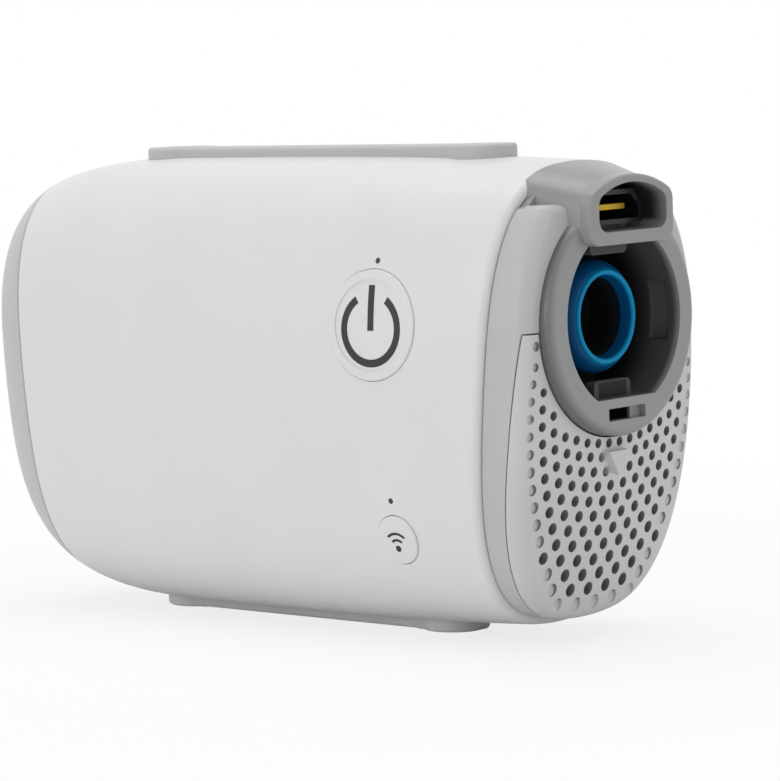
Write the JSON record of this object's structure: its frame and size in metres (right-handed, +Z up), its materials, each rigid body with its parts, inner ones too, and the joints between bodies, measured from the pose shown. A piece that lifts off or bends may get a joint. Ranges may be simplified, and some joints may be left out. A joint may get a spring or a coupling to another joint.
{
  "type": "travel cpap machine",
  "caption": "Small travel CPAP machine: rounded oblong case with two buttons, a perforated filter cover, a blue-sealed hose outlet in a collar and a power inlet above it.",
  "frame": {"origin": "centre of the footprint, on the surface that the lower strip's pads stand on", "axes": "+X towards the hose outlet, +Z up, the buttons face -Y"},
  "size_m": [0.1364, 0.0521, 0.084],
  "materials": {
    "shell_plastic": "fine satin",
    "cap_plastic": "fine satin",
    "bezel_plastic": "fine satin",
    "cover_plastic": "fine satin",
    "collar_plastic": "fine satin",
    "button_plastic": "fine satin",
    "lamp_lens": "clear, unlit",
    "seal_rubber": "soft satin",
    "strip_rubber": "soft matte",
    "black_plastic": "moulded",
    "gold_contact": "plated",
    "duct_rubber": "translucent satin",
    "tube_plastic": "satin",
    "blower_plastic": "satin",
    "impeller_plastic": "satin",
    "steel": "bright",
    "magnet_metal": "plain",
    "winding": "enamelled wire",
    "mount_rubber": "matte",
    "chassis_plastic": "satin",
    "board_green": "solder mask",
    "filter_foam": "fibrous",
    "muffler_foam": "open cell"
  },
  "bodies": {
    "casing": {"main_shell": "shell_plastic", "left_end_cap": "cap_plastic", "end_bezel": "bezel_plastic", "connector_housing": "collar_plastic", "outlet_seal": "seal_rubber", "outlet_tube": "tube_plastic", "dc_socket": "black_plastic", "socket_contacts": "gold_contact", "power_light_pipe": "lamp_lens", "wireless_light_pipe": "lamp_lens", "top_strip": "strip_rubber", "bottom_strip": "strip_rubber", "intake_muffler": "muffler_foam", "blower_front_housing": "blower_plastic", "blower_rear_housing": "blower_plastic", "motor_stator": "winding", "motor_bearings": "steel", "motor_can": "steel", "blower_mounts": "mount_rubber", "pressure_duct": "duct_rubber", "flow_sensor": "black_plastic", "chassis": "chassis_plastic", "main_board": "board_green", "power_switch": "black_plastic", "wireless_switch": "black_plastic", "status_leds": "lamp_lens", "radio_module": "steel", "inlet_board": "board_green", "chassis_screws": "steel", "blower_screws": "steel", "board_screws": "steel"},
    "power_button": {"power_button": "button_plastic"},
    "wireless_button": {"wireless_button": "button_plastic"},
    "filter_cover": {"filter_cover": "cover_plastic", "air_filter": "filter_foam"},
    "rotor": {"impeller": "impeller_plastic", "motor_shaft": "steel", "motor_magnet": "magnet_metal"}
  },
  "joints": [
    {"name": "power_button_press", "type": "slide", "parent": "casing", "child": "power_button", "axis": [0, 1, 0], "range_m": [0, 0.0005], "stiffness_N_per_m": 1000, "springref_m": -0.0004},
    {"name": "wireless_button_press", "type": "slide", "parent": "casing", "child": "wireless_button", "axis": [0, 1, 0], "range_m": [0, 0.0005], "stiffness_N_per_m": 1000, "springref_m": -0.0004},
    {"name": "filter_cover_hinge", "type": "hinge", "parent": "casing", "child": "filter_cover", "pos_m": [0.05426, 0, 0.00512], "axis": [0, 1, 0], "range_deg": [0, 30]},
    {"name": "impeller_spin", "type": "hinge", "parent": "casing", "child": "rotor", "pos_m": [-0.012, 0, 0.0311], "axis": [0, 1, 0], "continuous": true}
  ]
}
